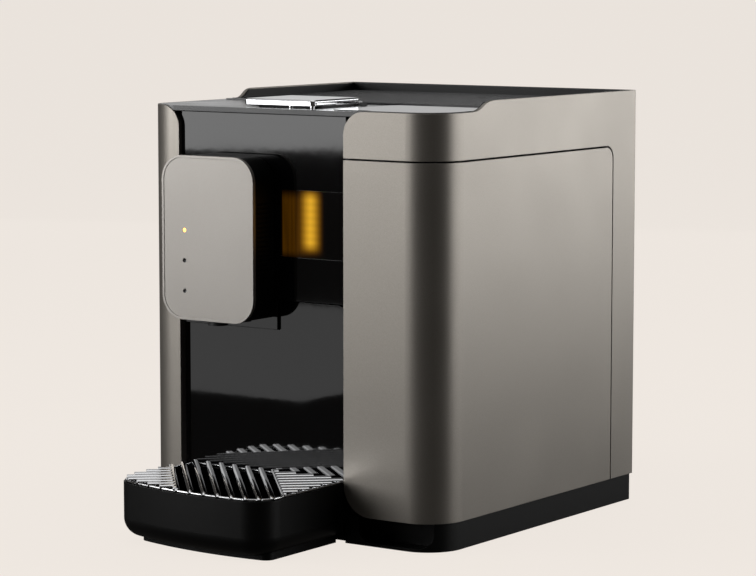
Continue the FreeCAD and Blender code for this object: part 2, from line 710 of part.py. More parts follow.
def toggle_links():
    links = []
    for side in (-1, 1):
        x = sorted((BREW_X + side * 20.0, BREW_X + side * 23.4))
        lower = [(35.0, 221.0), (45.0, 221.0), (90.5, 270.0), (90.5, 281.0)]
        upper = [(83.5, 281.0), (83.5, 272.0), (35.0, 229.0)]
        link = side_profile(lower + upper, x)
        slot = box((x[0] - 1, x[1] + 1), span(CRANK[0], 2.5), (CRANK[1] - 6.0, CRANK[1] + 2.4))
        links.append(link.cut(slot))
    return links


# ---------------------------------------------------------------- drip tray and capsule container

def tray_block(inset, z, reach=0.0):
    # Straight sides, a bowed front and round front corners; reach widens it to the right.
    x = (TRAY_X[0] + inset, TRAY_X[1] - inset + reach)
    front = TRAY_FRONT + inset
    corner = max(TRAY_CORNER_R - inset, 2.0)
    centre_y = front + TRAY_BOW_R
    sides = box(x, (front - 5, 0), z)
    block = sides.common(rod(TRAY_BOW_R, (TRAY_BOW_X, centre_y, z[0]), (TRAY_BOW_X, centre_y, z[1])))
    verticals = []
    for edge in block.Edges:
        limits = edge.BoundBox
        if limits.ZLength > 1 and limits.YMax < front + 30:
            verticals.append(edge)
    return block.makeFillet(corner, verticals)


def drip_tray():
    outer = tray_block(0, TRAY_Z)
    under = []
    for edge in outer.Edges:
        limits = edge.BoundBox
        if limits.ZMax < TRAY_Z[0] + 0.01 and limits.YMin < -1:
            under.append(edge)
    outer = outer.makeFillet(TRAY_FILLET, under)
    back_x = (RECESS_X[0] + GAP, RECESS_X[1] - GAP)
    outer = outer.fuse(box(back_x, (-1, TRAY_BACK), (FLOOR_TOP + GAP, TRAY_Z[1])))
    plinth = tray_block(PLINTH_INSET, (0.4, TRAY_Z[0] + 5), PLINTH_REACH)
    basin = tray_block(TRAY_WALL, (TRAY_Z[0] + TRAY_FILLET + 3, 60))
    basin = basin.fuse(tray_block(TRAY_FILLET, (TRAY_Z[0] + 3, 30)))
    return outer.fuse(plinth).cut(basin)


def grill_outline(z):
    plate = tray_block(GRILL_INSET, z)
    back_x = (RECESS_X[0] + GAP + GRILL_INSET, RECESS_X[1] - GAP - GRILL_INSET)
    return plate.fuse(box(back_x, (-1, GRILL_BACK), z))


def slanted_band(low, high, z, turn):
    # A long band between two parallel lines, turned about the middle of the grill.
    middle = Vec(sum(TRAY_X) / 2, GRILL_MID_Y, 0)
    band = box((middle.x - 200, middle.x + 200), (middle.y + low, middle.y + high), z)
    band.rotate(middle, Vec(0, 0, 1), turn)
    return band


def slanted_ribs(pitch, width, turn):
    ribs = []
    for i in range(-15, 16):
        ribs.append(slanted_band(i * pitch - width / 2, i * pitch + width / 2, GRILL_Z, turn))
    return fuse(ribs)


def drip_grill():
    outline = grill_outline(GRILL_Z)
    field = slanted_band(*ZONE_SPLIT, GRILL_Z, RIB_TURN)
    middle = outline.common(field).common(slanted_ribs(RIB_PITCH, RIB_W, RIB_TURN))
    sides = outline.cut(field).common(slanted_ribs(SIDE_PITCH, SIDE_W, RIB_TURN + 90))
    web_z = (GRILL_Z[0], GRILL_Z[0] + 1.6)
    rim = grill_outline(web_z).cut(tray_block(TRAY_WALL + 2.0, (0, 60)))
    skirt_z = (SKIRT_LOW, GRILL_Z[0])
    skirt = tray_block(TRAY_WALL + GAP, skirt_z).cut(tray_block(TRAY_WALL + 2.0, skirt_z))
    skirt = skirt.cut(box((-200, 200), (-GAP, 10), skirt_z))
    cross = [slanted_band(s - 2, s + 2, web_z, RIB_TURN) for s in ZONE_SPLIT]
    braces = fuse(cross).common(outline)
    return fuse([middle, sides, rim, skirt, braces])


def capsule_container():
    x = (RECESS_X[0] + 1.2, RECESS_X[1] - 1.2)
    outer = box(x, (BIN_Y[0] + 2.4, BIN_Y[1]), BIN_Z)
    inner = box((x[0] + 2, x[1] - 2), (BIN_Y[0] + 4.4, BIN_Y[1] - 2), (BIN_Z[0] + 2, 200))
    return outer.cut(inner)


def container_front():
    x = (RECESS_X[0] + GAP, RECESS_X[1] - GAP)
    y = (BIN_Y[0], BIN_Y[0] + 2.4)
    front = upright_plate(x, (TRAY_Z[1] + 0.2, BIN_FRONT_TOP[1]), y, (0, 0, 9.0, 0))
    return front.cut(box((-200, BIN_STEP_X), (0, 20), (BIN_FRONT_TOP[0], 200)))


# ---------------------------------------------------------------- tank drawer

def drawer_panel():
    z = (BASE_TOP, SEAM_Z - SEAM_GAP / 2)
    ring = body_ring(0, WALL, z).common(box((RECESS_X[1], 200), (-5, SEAM_Y - SEAM_GAP / 2), z))
    flange = box((RECESS_X[1], RECESS_X[1] + WALL), (0, 1.0), z)
    panel = ring.fuse(flange).common(seam_outline(-SEAM_GAP / 2, (0, 200)))
    centre = (RECESS_X[1] + PANEL_FOOT_R, BASE_TOP + PANEL_FOOT_R)
    foot_corner = box((RECESS_X[1] - 1, centre[0]), (-5, 8), (BASE_TOP - 1, centre[1]))
    round_part = rod(PANEL_FOOT_R, (centre[0], -6, centre[1]), (centre[0], 9, centre[1]))
    return panel.cut(foot_corner.cut(round_part))


def drawer_carrier():
    x = (TANK_X[0] - 3, TANK_X[1] + 3)
    y = (TANK_Y[0] - 3, TANK_Y[1] + 3)
    tray = box(x, y, (23.0, 76.0)).cut(box((x[0] + 2, x[1] - 2), (y[0] + 2, y[1] - 2), (25.0, 80.0)))
    tray = tray.cut(rod(7, (DOCK_X, 200, DOCK_Z), (DOCK_X, 230, DOCK_Z)))
    arms = [box((60, 64), (WALL, y[0]), (30, 76)), box((106, 110), (WALL, y[0]), (30, 76))]
    arms.append(box((x[1], HALF_W - WALL), (60, 66), (30, 76)))
    arms.append(box((x[1], HALF_W - WALL), (190, 196), (30, 76)))
    inside = body_block(WALL, (20, 100))
    brow = box((60, 110), (WALL, y[0]), (72, 76))
    return tray.fuse(fuse(arms + [brow]).common(inside))


def tank_block(inset, z):
    x = (TANK_X[0] + inset, TANK_X[1] - inset)
    y = (TANK_Y[0] + inset, TANK_Y[1] - inset)
    return rounded_block(x, y, z, (8 - inset, 16 - inset, 8 - inset, 8 - inset))


def water_tank():
    tank = tank_block(0, (25.2, TANK_Z[1])).cut(tank_block(2.2, (27.4, 300)))
    return tank.cut(rod(SPOUT_R, (DOCK_X, 200, DOCK_Z), (DOCK_X, 230, DOCK_Z)))


def tank_lid():
    lid = tank_block(0, (TANK_Z[1], TANK_Z[1] + 3))
    collar = tank_block(2.5, (TANK_Z[1] - 4, TANK_Z[1]))
    lid = lid.fuse(collar.cut(tank_block(4.5, (TANK_Z[1] - 5, TANK_Z[1]))))
    finger_hole = rod(9, (DOCK_X, 60, 240), (DOCK_X, 60, 260))
    return lid.cut(finger_hole)


def tank_valve():
    spout = rod(SPOUT_R, (DOCK_X, TANK_Y[1] - 6, DOCK_Z), (DOCK_X, 226, DOCK_Z))
    return spout.cut(rod(3, (DOCK_X, TANK_Y[1] - 7, DOCK_Z), (DOCK_X, 222, DOCK_Z)))


def tank_dock():
    block = box(span(DOCK_X, 13), (217.0, 240.0), span(DOCK_Z, 13))
    foot = box(span(DOCK_X, 13), (217.0, 240.0), (FLOOR_TOP, DOCK_Z - 13))
    socket = rod(SPOUT_R + RUN_CLEAR, (DOCK_X, 216, DOCK_Z), (DOCK_X, 230, DOCK_Z))
    return block.fuse(foot).cut(socket)


def drawer_runners():
    return [box((x, x + 4), (28, 210), (FLOOR_TOP, 22.4)) for x in (66.0, 106.0)]


# ---------------------------------------------------------------- rear connections

def inlet_socket():
    body = box(span(INLET_X, 13.8), (232.0, DEPTH - 0.4), span(INLET_Z, 11.8))
    body = body.cut(box(span(INLET_X, 11.6), (236.0, 260.0), span(INLET_Z, 9.0)))
    pins = []
    for dx, dz in ((-7.0, -2.0), (0.0, 3.0), (7.0, -2.0)):
        pins.append(box(span(INLET_X + dx, 1.0), (236.0, 250.0), span(INLET_Z + dz, 2.5)))
    return body.fuse(fuse(pins))


def rocker_bezel():
    body = box(span(ROCKER_X, 10.4), (240.0, DEPTH - 0.4), span(INLET_Z, 6.9))
    return body.cut(box(span(ROCKER_X, 8.8), (244.0, 260.0), span(INLET_Z, 5.4)))


def power_rocker():
    # Two faces that meet in a shallow V at the middle; the first face stands out at rest.
    y = DEPTH - 0.6
    points = [(-8.0, -0.4), (0.0, -2.2), (8.0, -2.6), (6.0, -7.5), (-6.0, -7.5)]
    corners = [Vec(ROCKER_X + x, y + dy, INLET_Z - 4.9) for x, dy in points]
    wire = Part.makePolygon(corners + corners[:1])
    rocker = Part.Face(wire).extrude(Vec(0, 0, 9.8))
    return rocker.fuse(rod(2.2, (ROCKER_X, 252.0, INLET_Z - 5.3), (ROCKER_X, 252.0, INLET_Z + 5.3)))


os.makedirs("parts", exist_ok=True)
left_shell = left_side_shell()
right_shell = right_side_shell()
groups = {
    "base_plinth": base_plinth(),
    "rubber_feet": Part.makeCompound(foot_solids()),
    "left_side_shell": left_shell,
    "right_side_shell": right_shell,
    "rear_cover": rear_cover(),
    "rear_screws": Part.makeCompound(rear_screws()),
    "top_deck": top_deck([left_shell, right_shell]),
    "rail_liner": rail_liner(),
    "cup_plate": cup_plate(),
    "top_inlay": top_inlay(),
    "fascia": fascia(),
    "status_window": status_window(),
    "light_guide": light_guide(),
    "led_board": led_board(),
    "inner_chassis": inner_chassis(),
    "capsule_slot_frame": capsule_slot_frame(),
    "waste_chute": waste_chute(),
    "brew_chamber": brew_chamber(),
    "chamber_seal": chamber_seal(),
    "piston_guides": Part.makeCompound(piston_guides()),
    "thermoblock": thermoblock(),
    "pump_body": pump_body(),
    "pump_piston": pump_piston(),
    "pump_spring": pump_spring(),
    "pump_mount": pump_mount(),
    "flow_meter": flow_meter(),
    "control_board": control_board(),
    "power_board": power_board(),
    "water_hoses": Part.makeCompound(water_hoses()),
    "outlet_hose": outlet_hose(),
    "tank_dock": tank_dock(),
    "inlet_socket": inlet_socket(),
    "rocker_bezel": rocker_bezel(),
    "power_rocker": power_rocker(),
    "head_rails": Part.makeCompound(head_rails()),
    "rail_bracket": rail_bracket(),
    "drawer_runners": Part.makeCompound(drawer_runners()),
    "lever_plate": lever_plate(),
    "lever_frame": lever_frame(),
    "lever_arms": Part.makeCompound(lever_arms()),
    "lever_pin": lever_pin(),
    "lever_bumpers": Part.makeCompound(lever_bumpers()),
    "brew_piston": brew_piston(),
    "toggle_links": Part.makeCompound(toggle_links()),
    "head_housing": head_housing(),
    "head_plate": head_plate(),
    "head_rim": head_rim(),
    "touch_board": touch_board(),
    "led_lenses": Part.makeCompound(led_lenses()),
    "spout_nozzle": spout_nozzle(),
    "head_carriage": head_carriage(),
    "drip_tray": drip_tray(),
    "drip_grill": drip_grill(),
    "capsule_container": capsule_container(),
    "container_front": container_front(),
    "drawer_panel": drawer_panel(),
    "drawer_carrier": drawer_carrier(),
    "water_tank": water_tank(),
    "tank_lid": tank_lid(),
    "tank_valve": tank_valve(),
}
for name, shape in groups.items():
    save(name, shape)
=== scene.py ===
"""Looks for a countertop capsule coffee machine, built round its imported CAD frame."""
import json
import math

import bmesh
import bpy
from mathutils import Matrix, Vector


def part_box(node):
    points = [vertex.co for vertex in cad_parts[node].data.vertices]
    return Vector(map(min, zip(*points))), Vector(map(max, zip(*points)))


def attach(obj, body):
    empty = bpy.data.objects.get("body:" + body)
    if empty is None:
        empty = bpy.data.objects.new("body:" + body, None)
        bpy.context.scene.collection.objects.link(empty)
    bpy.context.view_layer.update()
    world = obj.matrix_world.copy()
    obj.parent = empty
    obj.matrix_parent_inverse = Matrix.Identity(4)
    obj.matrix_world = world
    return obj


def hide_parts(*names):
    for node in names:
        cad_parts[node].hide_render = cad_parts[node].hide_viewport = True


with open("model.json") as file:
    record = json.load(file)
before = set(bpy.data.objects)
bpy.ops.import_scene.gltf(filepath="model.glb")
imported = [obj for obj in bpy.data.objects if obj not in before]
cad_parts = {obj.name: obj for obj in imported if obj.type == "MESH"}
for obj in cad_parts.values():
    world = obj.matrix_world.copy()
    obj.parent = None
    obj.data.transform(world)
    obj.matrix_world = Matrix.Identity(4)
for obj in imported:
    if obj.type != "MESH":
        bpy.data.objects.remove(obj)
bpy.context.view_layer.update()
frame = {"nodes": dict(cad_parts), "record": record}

MM = 0.001


# ------------------------------------------------------------------ colour and node helpers

def colour(code):
    """An sRGB hex value as linear red, green, blue and alpha."""
    parts = [int(code[i:i + 2], 16) / 255 for i in (1, 3, 5)]
    linear = [c / 12.92 if c <= 0.04045 else ((c + 0.055) / 1.055) ** 2.4 for c in parts]
    return (*linear, 1.0)


def add_node(tree, kind, settings=None, inputs=None, links=None):
    """Adds one node: its settings, its unlinked inputs and the sockets that feed it."""
    node = tree.nodes.new(kind)
    for name, value in (settings or {}).items():
        setattr(node, name, value)
    for name, value in (inputs or {}).items():
        node.inputs[name].default_value = value
    for name, socket in (links or {}).items():
        tree.links.new(socket, node.inputs[name])
    return node


def new_material(name, **shader_inputs):
    """An empty material with one Principled shader; returns the material, its tree and the shader."""
    material = bpy.data.materials.new(name)
    material.use_nodes = True
    tree = material.node_tree
    tree.nodes.clear()
    inputs = {key.replace("_", " "): value for key, value in shader_inputs.items()}
    shader = add_node(tree, "ShaderNodeBsdfPrincipled", inputs=inputs)
    add_node(tree, "ShaderNodeOutputMaterial", links={"Surface": shader.outputs[0]})
    return material, tree, shader


def object_place(tree, scale=(1.0, 1.0, 1.0)):
    place = add_node(tree, "ShaderNodeTexCoord")
    mapping = add_node(tree, "ShaderNodeMapping", inputs={"Scale": scale},
                       links={"Vector": place.outputs["Object"]})
    return mapping.outputs[0]


def per_mm(size_mm):
    """A texture's scale, in features per metre, for features of that size."""
    return 1.0 / (size_mm * MM)


def noise(tree, place, size_mm, detail=2.0, rough=0.5):
    return add_node(tree, "ShaderNodeTexNoise",
                    inputs={"Scale": per_mm(size_mm), "Detail": detail, "Roughness": rough},
                    links={"Vector": place}).outputs["Fac"]


def spread(tree, fac, low, high):
    """Turns a 0 to 1 pattern into a number from low to high."""
    return add_node(tree, "ShaderNodeMapRange",
                    inputs={"From Min": 0.3, "From Max": 0.7, "To Min": low, "To Max": high},
                    links={"Value": fac}).outputs["Result"]


def bump(tree, height, depth_mm, edge_mm=0.0):
    """A bump of that depth, over edges that are rounded by edge_mm."""
    inputs = {"Strength": 1.0, "Distance": depth_mm * MM}
    links = {"Height": height}
    if edge_mm:
        edge = add_node(tree, "ShaderNodeBevel", {"samples": 4}, {"Radius": edge_mm * MM})
        links["Normal"] = edge.outputs[0]
    return add_node(tree, "ShaderNodeBump", inputs=inputs, links=links).outputs[0]


def tint(tree, fac, dark, light):
    return add_node(tree, "ShaderNodeMix", {"data_type": "RGBA"},
                    {"A": colour(dark), "B": colour(light)}, {"Factor": fac}).outputs["Result"]


# ------------------------------------------------------------------ finishes

def metallic_lacquer(name, dark, light, rough):
    """Satin metallic lacquer sprayed on moulded ABS: a soft sheen with faint flakes."""
    material, tree, shader = new_material(name, Metallic=0.86, Roughness=rough, IOR=1.5)
    place = object_place(tree)
    flake = noise(tree, place, 0.35, 1.0)      # real flake is 0.03 mm, drawn coarser so that it shows
    cloud = noise(tree, place, 60.0, 2.0)
    tree.links.new(tint(tree, spread(tree, flake, 0.0, 1.0), dark, light), shader.inputs["Base Color"])
    tree.links.new(spread(tree, cloud, rough - 0.02, rough + 0.02), shader.inputs["Roughness"])
    tree.links.new(bump(tree, flake, 0.004, 0.5), shader.inputs["Normal"])
    return material


def moulded_abs(name, base, light, rough, grain_mm, depth_mm, shine=0.5):
    """ABS moulded in a spark-eroded tool: an even fine grain that softens the highlights."""
    material, tree, shader = new_material(name, Roughness=rough, IOR=1.54, Specular_IOR_Level=shine)
    place = object_place(tree)
    grain = noise(tree, place, grain_mm, 2.0)
    cloud = noise(tree, place, 45.0, 3.0)
    tree.links.new(tint(tree, spread(tree, cloud, 0.0, 1.0), base, light), shader.inputs["Base Color"])
    tree.links.new(spread(tree, grain, rough - 0.04, rough + 0.05), shader.inputs["Roughness"])
    tree.links.new(bump(tree, grain, depth_mm, 0.5), shader.inputs["Normal"])
    return material


def polished_abs(name, base, rough):
    """High-gloss ABS from a polished tool: mirror-like, with a very slight orange peel."""
    material, tree, shader = new_material(name, Roughness=rough, IOR=1.54)
    place = object_place(tree)
    peel = noise(tree, place, 7.0, 1.0)
    haze = noise(tree, place, 30.0, 4.0)
    shader.inputs["Base Color"].default_value = colour(base)
    tree.links.new(spread(tree, haze, rough * 0.8, rough * 1.25), shader.inputs["Roughness"])
    tree.links.new(bump(tree, peel, 0.004, 0.4), shader.inputs["Normal"])
    return material


def polished_metal(name, base, rough):
    """Chrome plate on a polished part: bright, cool and almost free of haze."""
    material, tree, shader = new_material(name, Metallic=1.0, Roughness=rough)
    place = object_place(tree)
    haze = noise(tree, place, 18.0, 3.0)
    shader.inputs["Base Color"].default_value = colour(base)
    tree.links.new(spread(tree, haze, rough * 0.7, rough * 1.5), shader.inputs["Roughness"])
    tree.links.new(bump(tree, noise(tree, place, 9.0, 1.0), 0.006, 0.3), shader.inputs["Normal"])
    return material


def brushed_metal(name, base, light, rough, stretch):
    """Drawn or brushed metal: fine streaks along one direction."""
    material, tree, shader = new_material(name, Metallic=1.0, Roughness=rough)
    place = object_place(tree, stretch)
    streak = noise(tree, place, 0.6, 3.0, 0.6)
    tree.links.new(tint(tree, streak, base, light), shader.inputs["Base Color"])
    tree.links.new(spread(tree, streak, rough - 0.06, rough + 0.08), shader.inputs["Roughness"])
    tree.links.new(bump(tree, streak, 0.01, 0.2), shader.inputs["Normal"])
    return material


def silicone_rubber(name, base, light, clear):
    """Moulded silicone: a milky body with a soft, slightly greasy sheen."""
    material, tree, shader = new_material(name, Roughness=0.45, IOR=1.43, Transmission_Weight=clear,
                                          Sheen_Weight=0.1)
    place = object_place(tree)
    cloud = noise(tree, place, 8.0, 3.0)
    tree.links.new(tint(tree, cloud, base, light), shader.inputs["Base Color"])
    tree.links.new(bump(tree, noise(tree, place, 0.8, 2.0), 0.01), shader.inputs["Normal"])
    return material


def clear_plastic(name, base, rough, depth_mm):
    """Injection-moulded SAN: clear, a little grey, with faint flow waviness."""
    material, tree, shader = new_material(name, Roughness=rough, IOR=1.56, Transmission_Weight=1.0)
    place = object_place(tree)
    shader.inputs["Base Color"].default_value = colour(base)
    tree.links.new(bump(tree, noise(tree, place, 14.0, 1.0), depth_mm, 0.4), shader.inputs["Normal"])
    return material


def circuit_board(name):
    """Green solder mask over copper: glossy, with the tracks faintly lighter."""
    material, tree, shader = new_material(name, Roughness=0.35, IOR=1.5)
    place = object_place(tree)
    tracks = add_node(tree, "ShaderNodeTexVoronoi", {"distance": "MANHATTAN"},
                      {"Scale": per_mm(3.0)}, {"Vector": place}).outputs["Distance"]
    tree.links.new(tint(tree, tracks, "#0C3B1C", "#1E5B30"), shader.inputs["Base Color"])
    tree.links.new(bump(tree, tracks, 0.03, 0.1), shader.inputs["Normal"])
    return material


def lit_diode(name, core, strength):
    """A lit amber diode behind a diffusing lens, very slightly uneven."""
    material, tree, shader = new_material(name, Roughness=0.3, Emission_Strength=strength)
    shader.inputs["Base Color"].default_value = colour(core)
    place = object_place(tree)
    cloud = noise(tree, place, 1.2, 1.0)
    tree.links.new(tint(tree, cloud, core, "#FFC861"), shader.inputs["Emission Color"])
    return material


def ramp_mask(tree, value, start_mm, end_mm):
    """0 at start_mm and 1 at end_mm of a position, with a smooth change between them."""
    return add_node(tree, "ShaderNodeMapRange", {"interpolation_type": "SMOOTHSTEP"},
                    {"From Min": start_mm * MM, "From Max": end_mm * MM},
                    {"Value": value}).outputs["Result"]


def calc(tree, operation, first, second):
    """One Math node; each argument is a socket or a number."""
    node = add_node(tree, "ShaderNodeMath", {"operation": operation})
    for index, value in enumerate((first, second)):
        if isinstance(value, (int, float)):
            node.inputs[index].default_value = value
        else:
            tree.links.new(value, node.inputs[index])
    return node.outputs[0]


def product(tree, *sockets):
    result = sockets[0]
    for socket in sockets[1:]:
        result = calc(tree, "MULTIPLY", result, socket)
    return result


BEAD_PITCH = 4.7


def backlit_diffuser(name, guide, window):
    """Smoked acrylic over a bar of amber diodes: a soft bright bar and a dim brown glow beside it."""
    material, tree, shader = new_material(name, Roughness=0.05, IOR=1.52, Emission_Strength=1.0)
    shader.inputs["Base Color"].default_value = colour("#050404")
    spot = add_node(tree, "ShaderNodeSeparateXYZ", links={"Vector": object_place(tree)})
    x, z = spot.outputs["X"], spot.outputs["Z"]
    left, right = guide[0].x / MM, guide[1].x / MM
    low, high = guide[0].z / MM, guide[1].z / MM
    bar = product(tree,
                  ramp_mask(tree, x, left - 3.5, left + 8.0), ramp_mask(tree, x, right + 4.5, right - 7.0),
                  ramp_mask(tree, z, low, low + 10.0), ramp_mask(tree, z, high + 4.5, high - 5.5))
    glow = product(tree, ramp_mask(tree, x, window[0].x / MM + 0.4, window[0].x / MM + 1.6),
                   ramp_mask(tree, x, right + 7.0, left + 2.0),
                   ramp_mask(tree, z, low - 3.0, low + 5.0), ramp_mask(tree, z, high + 2.0, high - 7.0))
    wave = calc(tree, "SINE", calc(tree, "MULTIPLY", z, math.tau * per_mm(BEAD_PITCH)), 0.0)
    beads = calc(tree, "ADD", calc(tree, "MULTIPLY", wave, 0.05), 0.95)
    lines = noise(tree, object_place(tree, (1.0, 0.02, 0.02)), 0.9, 1.0)
    grain = spread(tree, lines, 0.55, 1.0)
    hot = tint(tree, bar, "#A86A08", "#F2B52E")
    dim = product(tree, glow, grain, 0.13)
    level = calc(tree, "ADD", product(tree, bar, beads, 0.76), dim)
    shade = add_node(tree, "ShaderNodeVectorMath", {"operation": "SCALE"}, links={0: hot, "Scale": level})
    tree.links.new(shade.outputs[0], shader.inputs["Emission Color"])
    tree.links.new(bump(tree, noise(tree, object_place(tree), 6.0, 1.0), 0.004, 0.2), shader.inputs["Normal"])
    return material


FINISHES = {
    "satin_grey": metallic_lacquer("warm_grey_lacquer", "#8A857E", "#97928B", 0.42),
    "head_silver": metallic_lacquer("silver_lacquer", "#95918C", "#A09C97", 0.46),
    # the bezel uses the plate's lacquer at the same roughness, made a little lighter: a painted highlight for
    # the bright edge along the rim
    "polished_rim": metallic_lacquer("bezel_painted_highlight_lacquer", "#9A9691", "#A4A09B", 0.46),
    "gloss_black": polished_abs("piano_black_abs", "#050506", 0.035),
    "deck_black": polished_abs("deck_gloss_abs", "#101114", 0.16),
    "satin_black": moulded_abs("satin_black_abs", "#020202", "#040404", 0.40, 0.5, 0.01, 0.22),
    "matte_black": moulded_abs("matt_black_abs", "#0A0A0B", "#101011", 0.55, 0.7, 0.03),
    "frame_grey": moulded_abs("grey_glass_filled_nylon", "#2A2A2C", "#353537", 0.5, 0.8, 0.03),
    "chassis_white": moulded_abs("natural_acetal", "#B9B7B0", "#C9C7C0", 0.42, 0.9, 0.02),
    "chrome": polished_metal("bright_chrome_plate", "#E3E4E6", 0.07),
    "steel": brushed_metal("drawn_steel", "#8E8E8E", "#B4B4B4", 0.3, (1.0, 0.05, 1.0)),
    "aluminium": brushed_metal("cast_aluminium", "#9FA0A0", "#BFC0C0", 0.42, (1.0, 1.0, 1.0)),
    "rubber": moulded_abs("black_rubber", "#101010", "#191919", 0.75, 1.0, 0.04),
    "silicone": silicone_rubber("milky_silicone", "#C9C6BE", "#DAD8D0", 0.15),
    "smoked_lens": backlit_diffuser("smoked_acrylic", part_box("light_guide"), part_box("status_window")),
    "tank_clear": clear_plastic("clear_san", "#C3CACC", 0.08, 0.03),
    "amber_light": lit_diode("amber_diode", "#FFB066", 3.0),
    "circuit_green": circuit_board("solder_mask"),
}


def dress_cad_nodes():
    """Gives every CAD node the finish that its material slot names."""
    slots = {part["node"]: part["material_slot"] for part in frame["record"]["subparts"]}
    for name, piece in frame["nodes"].items():
        finish = FINISHES[slots[name]]
        for index in range(len(piece.material_slots)):
            piece.material_slots[index].material = finish


# ------------------------------------------------------------------ Geometry Nodes and mesh helpers

def mesh_object(name, vertices, edges=(), faces=()):
    mesh = bpy.data.meshes.new(name)
    mesh.from_pydata([tuple(c * MM for c in v) for v in vertices], list(edges), list(faces))
    piece = bpy.data.objects.new(name, mesh)
    bpy.context.scene.collection.objects.link(piece)
    return piece


def sweep_tree():
    """Geometry Nodes: a rounded bar swept along every edge of the mesh."""
    tree = bpy.data.node_groups.new("swept_bars", "GeometryNodeTree")
    face = tree.interface
    face.new_socket("Geometry", in_out="INPUT", socket_type="NodeSocketGeometry")
    for label in ("Bar width", "Bar height", "Edge radius"):
        face.new_socket(label, in_out="INPUT", socket_type="NodeSocketFloat")
    face.new_socket("Finish", in_out="INPUT", socket_type="NodeSocketMaterial")
    face.new_socket("Geometry", in_out="OUTPUT", socket_type="NodeSocketGeometry")
    given = add_node(tree, "NodeGroupInput").outputs
    path = add_node(tree, "GeometryNodeMeshToCurve", links={"Mesh": given["Geometry"]})
    upright = add_node(tree, "GeometryNodeSetCurveNormal", {"mode": "Z_UP"}, links={"Curve": path.outputs[0]})
    outline = add_node(tree, "GeometryNodeCurvePrimitiveQuadrilateral",
                       links={"Width": given["Bar width"], "Height": given["Bar height"]})
    rounded = add_node(tree, "GeometryNodeFilletCurve", {"mode": "POLY"}, {"Count": 4},
                       {"Curve": outline.outputs[0], "Radius": given["Edge radius"]})
    bars = add_node(tree, "GeometryNodeCurveToMesh", inputs={"Fill Caps": True},
                    links={"Curve": upright.outputs[0], "Profile Curve": rounded.outputs[0]})
    real = add_node(tree, "GeometryNodeRealizeInstances", links={"Geometry": bars.outputs[0]})
    done = add_node(tree, "GeometryNodeSetMaterial",
                    links={"Geometry": real.outputs[0], "Material": given["Finish"]})
    add_node(tree, "NodeGroupOutput", links={"Geometry": done.outputs[0]})
    return tree


SWEEP = sweep_tree()


def run_tree(piece, tree, sizes, finish):
    """Runs a tree on a piece with sizes in mm and keeps the result as a plain mesh."""
    modifier = piece.modifiers.new("build", "NODES")
    modifier.node_group = tree
    for item in tree.interface.items_tree:
        if item.in_out == "INPUT" and item.name in sizes:
            modifier[item.identifier] = float(sizes[item.name]) * MM
        if item.in_out == "INPUT" and item.name == "Finish":
            modifier[item.identifier] = finish
    bpy.context.view_layer.update()
    graph = bpy.context.evaluated_depsgraph_get()
    built = bpy.data.meshes.new_from_object(piece.evaluated_get(graph))
    piece.modifiers.remove(modifier)
    piece.data = built
    built.materials.clear()
    built.materials.append(finish)
    return piece


def join(name, parts, smooth_degrees=35.0):
    """One mesh from several pieces that share a finish."""
    work = bmesh.new()
    for part in parts:
        work.from_mesh(part.data)
    bmesh.ops.recalc_face_normals(work, faces=work.faces)
    mesh = bpy.data.meshes.new(name)
    work.to_mesh(mesh)
    work.free()
    mesh.materials.append(parts[0].data.materials[0])
    for part in parts:
        bpy.data.objects.remove(part)
    piece = bpy.data.objects.new(name, mesh)
    bpy.context.scene.collection.objects.link(piece)
    mesh.shade_smooth()
    mesh.set_sharp_from_angle(angle=math.radians(smooth_degrees))
    return piece


def swept(lines, width, height, radius, finish):
    """Bars along straight or bent lines of points in mm."""
    vertices, edges = [], []
    for line in lines:
        first = len(vertices)
        vertices += line
        edges += [(first + i, first + i + 1) for i in range(len(line) - 1)]
    piece = mesh_object("bars", vertices, edges)
    sizes = {"Bar width": width, "Bar height": height, "Edge radius": radius}
    return run_tree(piece, SWEEP, sizes, finish)


def lathe(profile, centre, finish, steps=32):
    """A turned form about the Y axis: profile is (radius, depth) from the front inwards, in mm."""
    vertices, faces = [], []
    for radius, depth in profile:
        for i in range(steps):
            turn = math.tau * i / steps
            vertices.append((centre[0] + radius * math.cos(turn), centre[1] + depth,
                             centre[2] + radius * math.sin(turn)))
    for ring in range(len(profile) - 1):
        for i in range(steps):
            a, b = ring * steps + i, ring * steps + (i + 1) % steps
            faces.append((a, b, b + steps, a + steps))
    faces.append(tuple(range(steps)))
    faces.append(tuple(range(len(vertices) - steps, len(vertices))))
    piece = mesh_object("turned", vertices, faces=faces)
    piece.data.materials.append(finish)
    return piece


def finish_piece(piece, body, slot, *replaced):
    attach(piece, body)
    if replaced:
        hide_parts(*replaced)


def in_mm(corner):
    return tuple(c / MM for c in corner)


# ------------------------------------------------------------------ drip grill

BOW_R = 273.0
BOW_X = 2.0
CORNER_R = 20.0
SIDE_STEP = 5.0
RIB_TURN = -49.0
RIB_PITCH = 8.7
SIDE_PITCH = 9.7
SPLITS = (-35.0, 33.6)
MIDDLE = (-19.9, -42.0)
RIB_W = 4.2
SIDE_W = 6.0
RIB_H = 3.4
RIB_EDGE = 1.65
RIB_SINK = 1.7
NOSE_START = 1.8
NOSE_REACH = 0.6
NOSE_DROP = 1.7


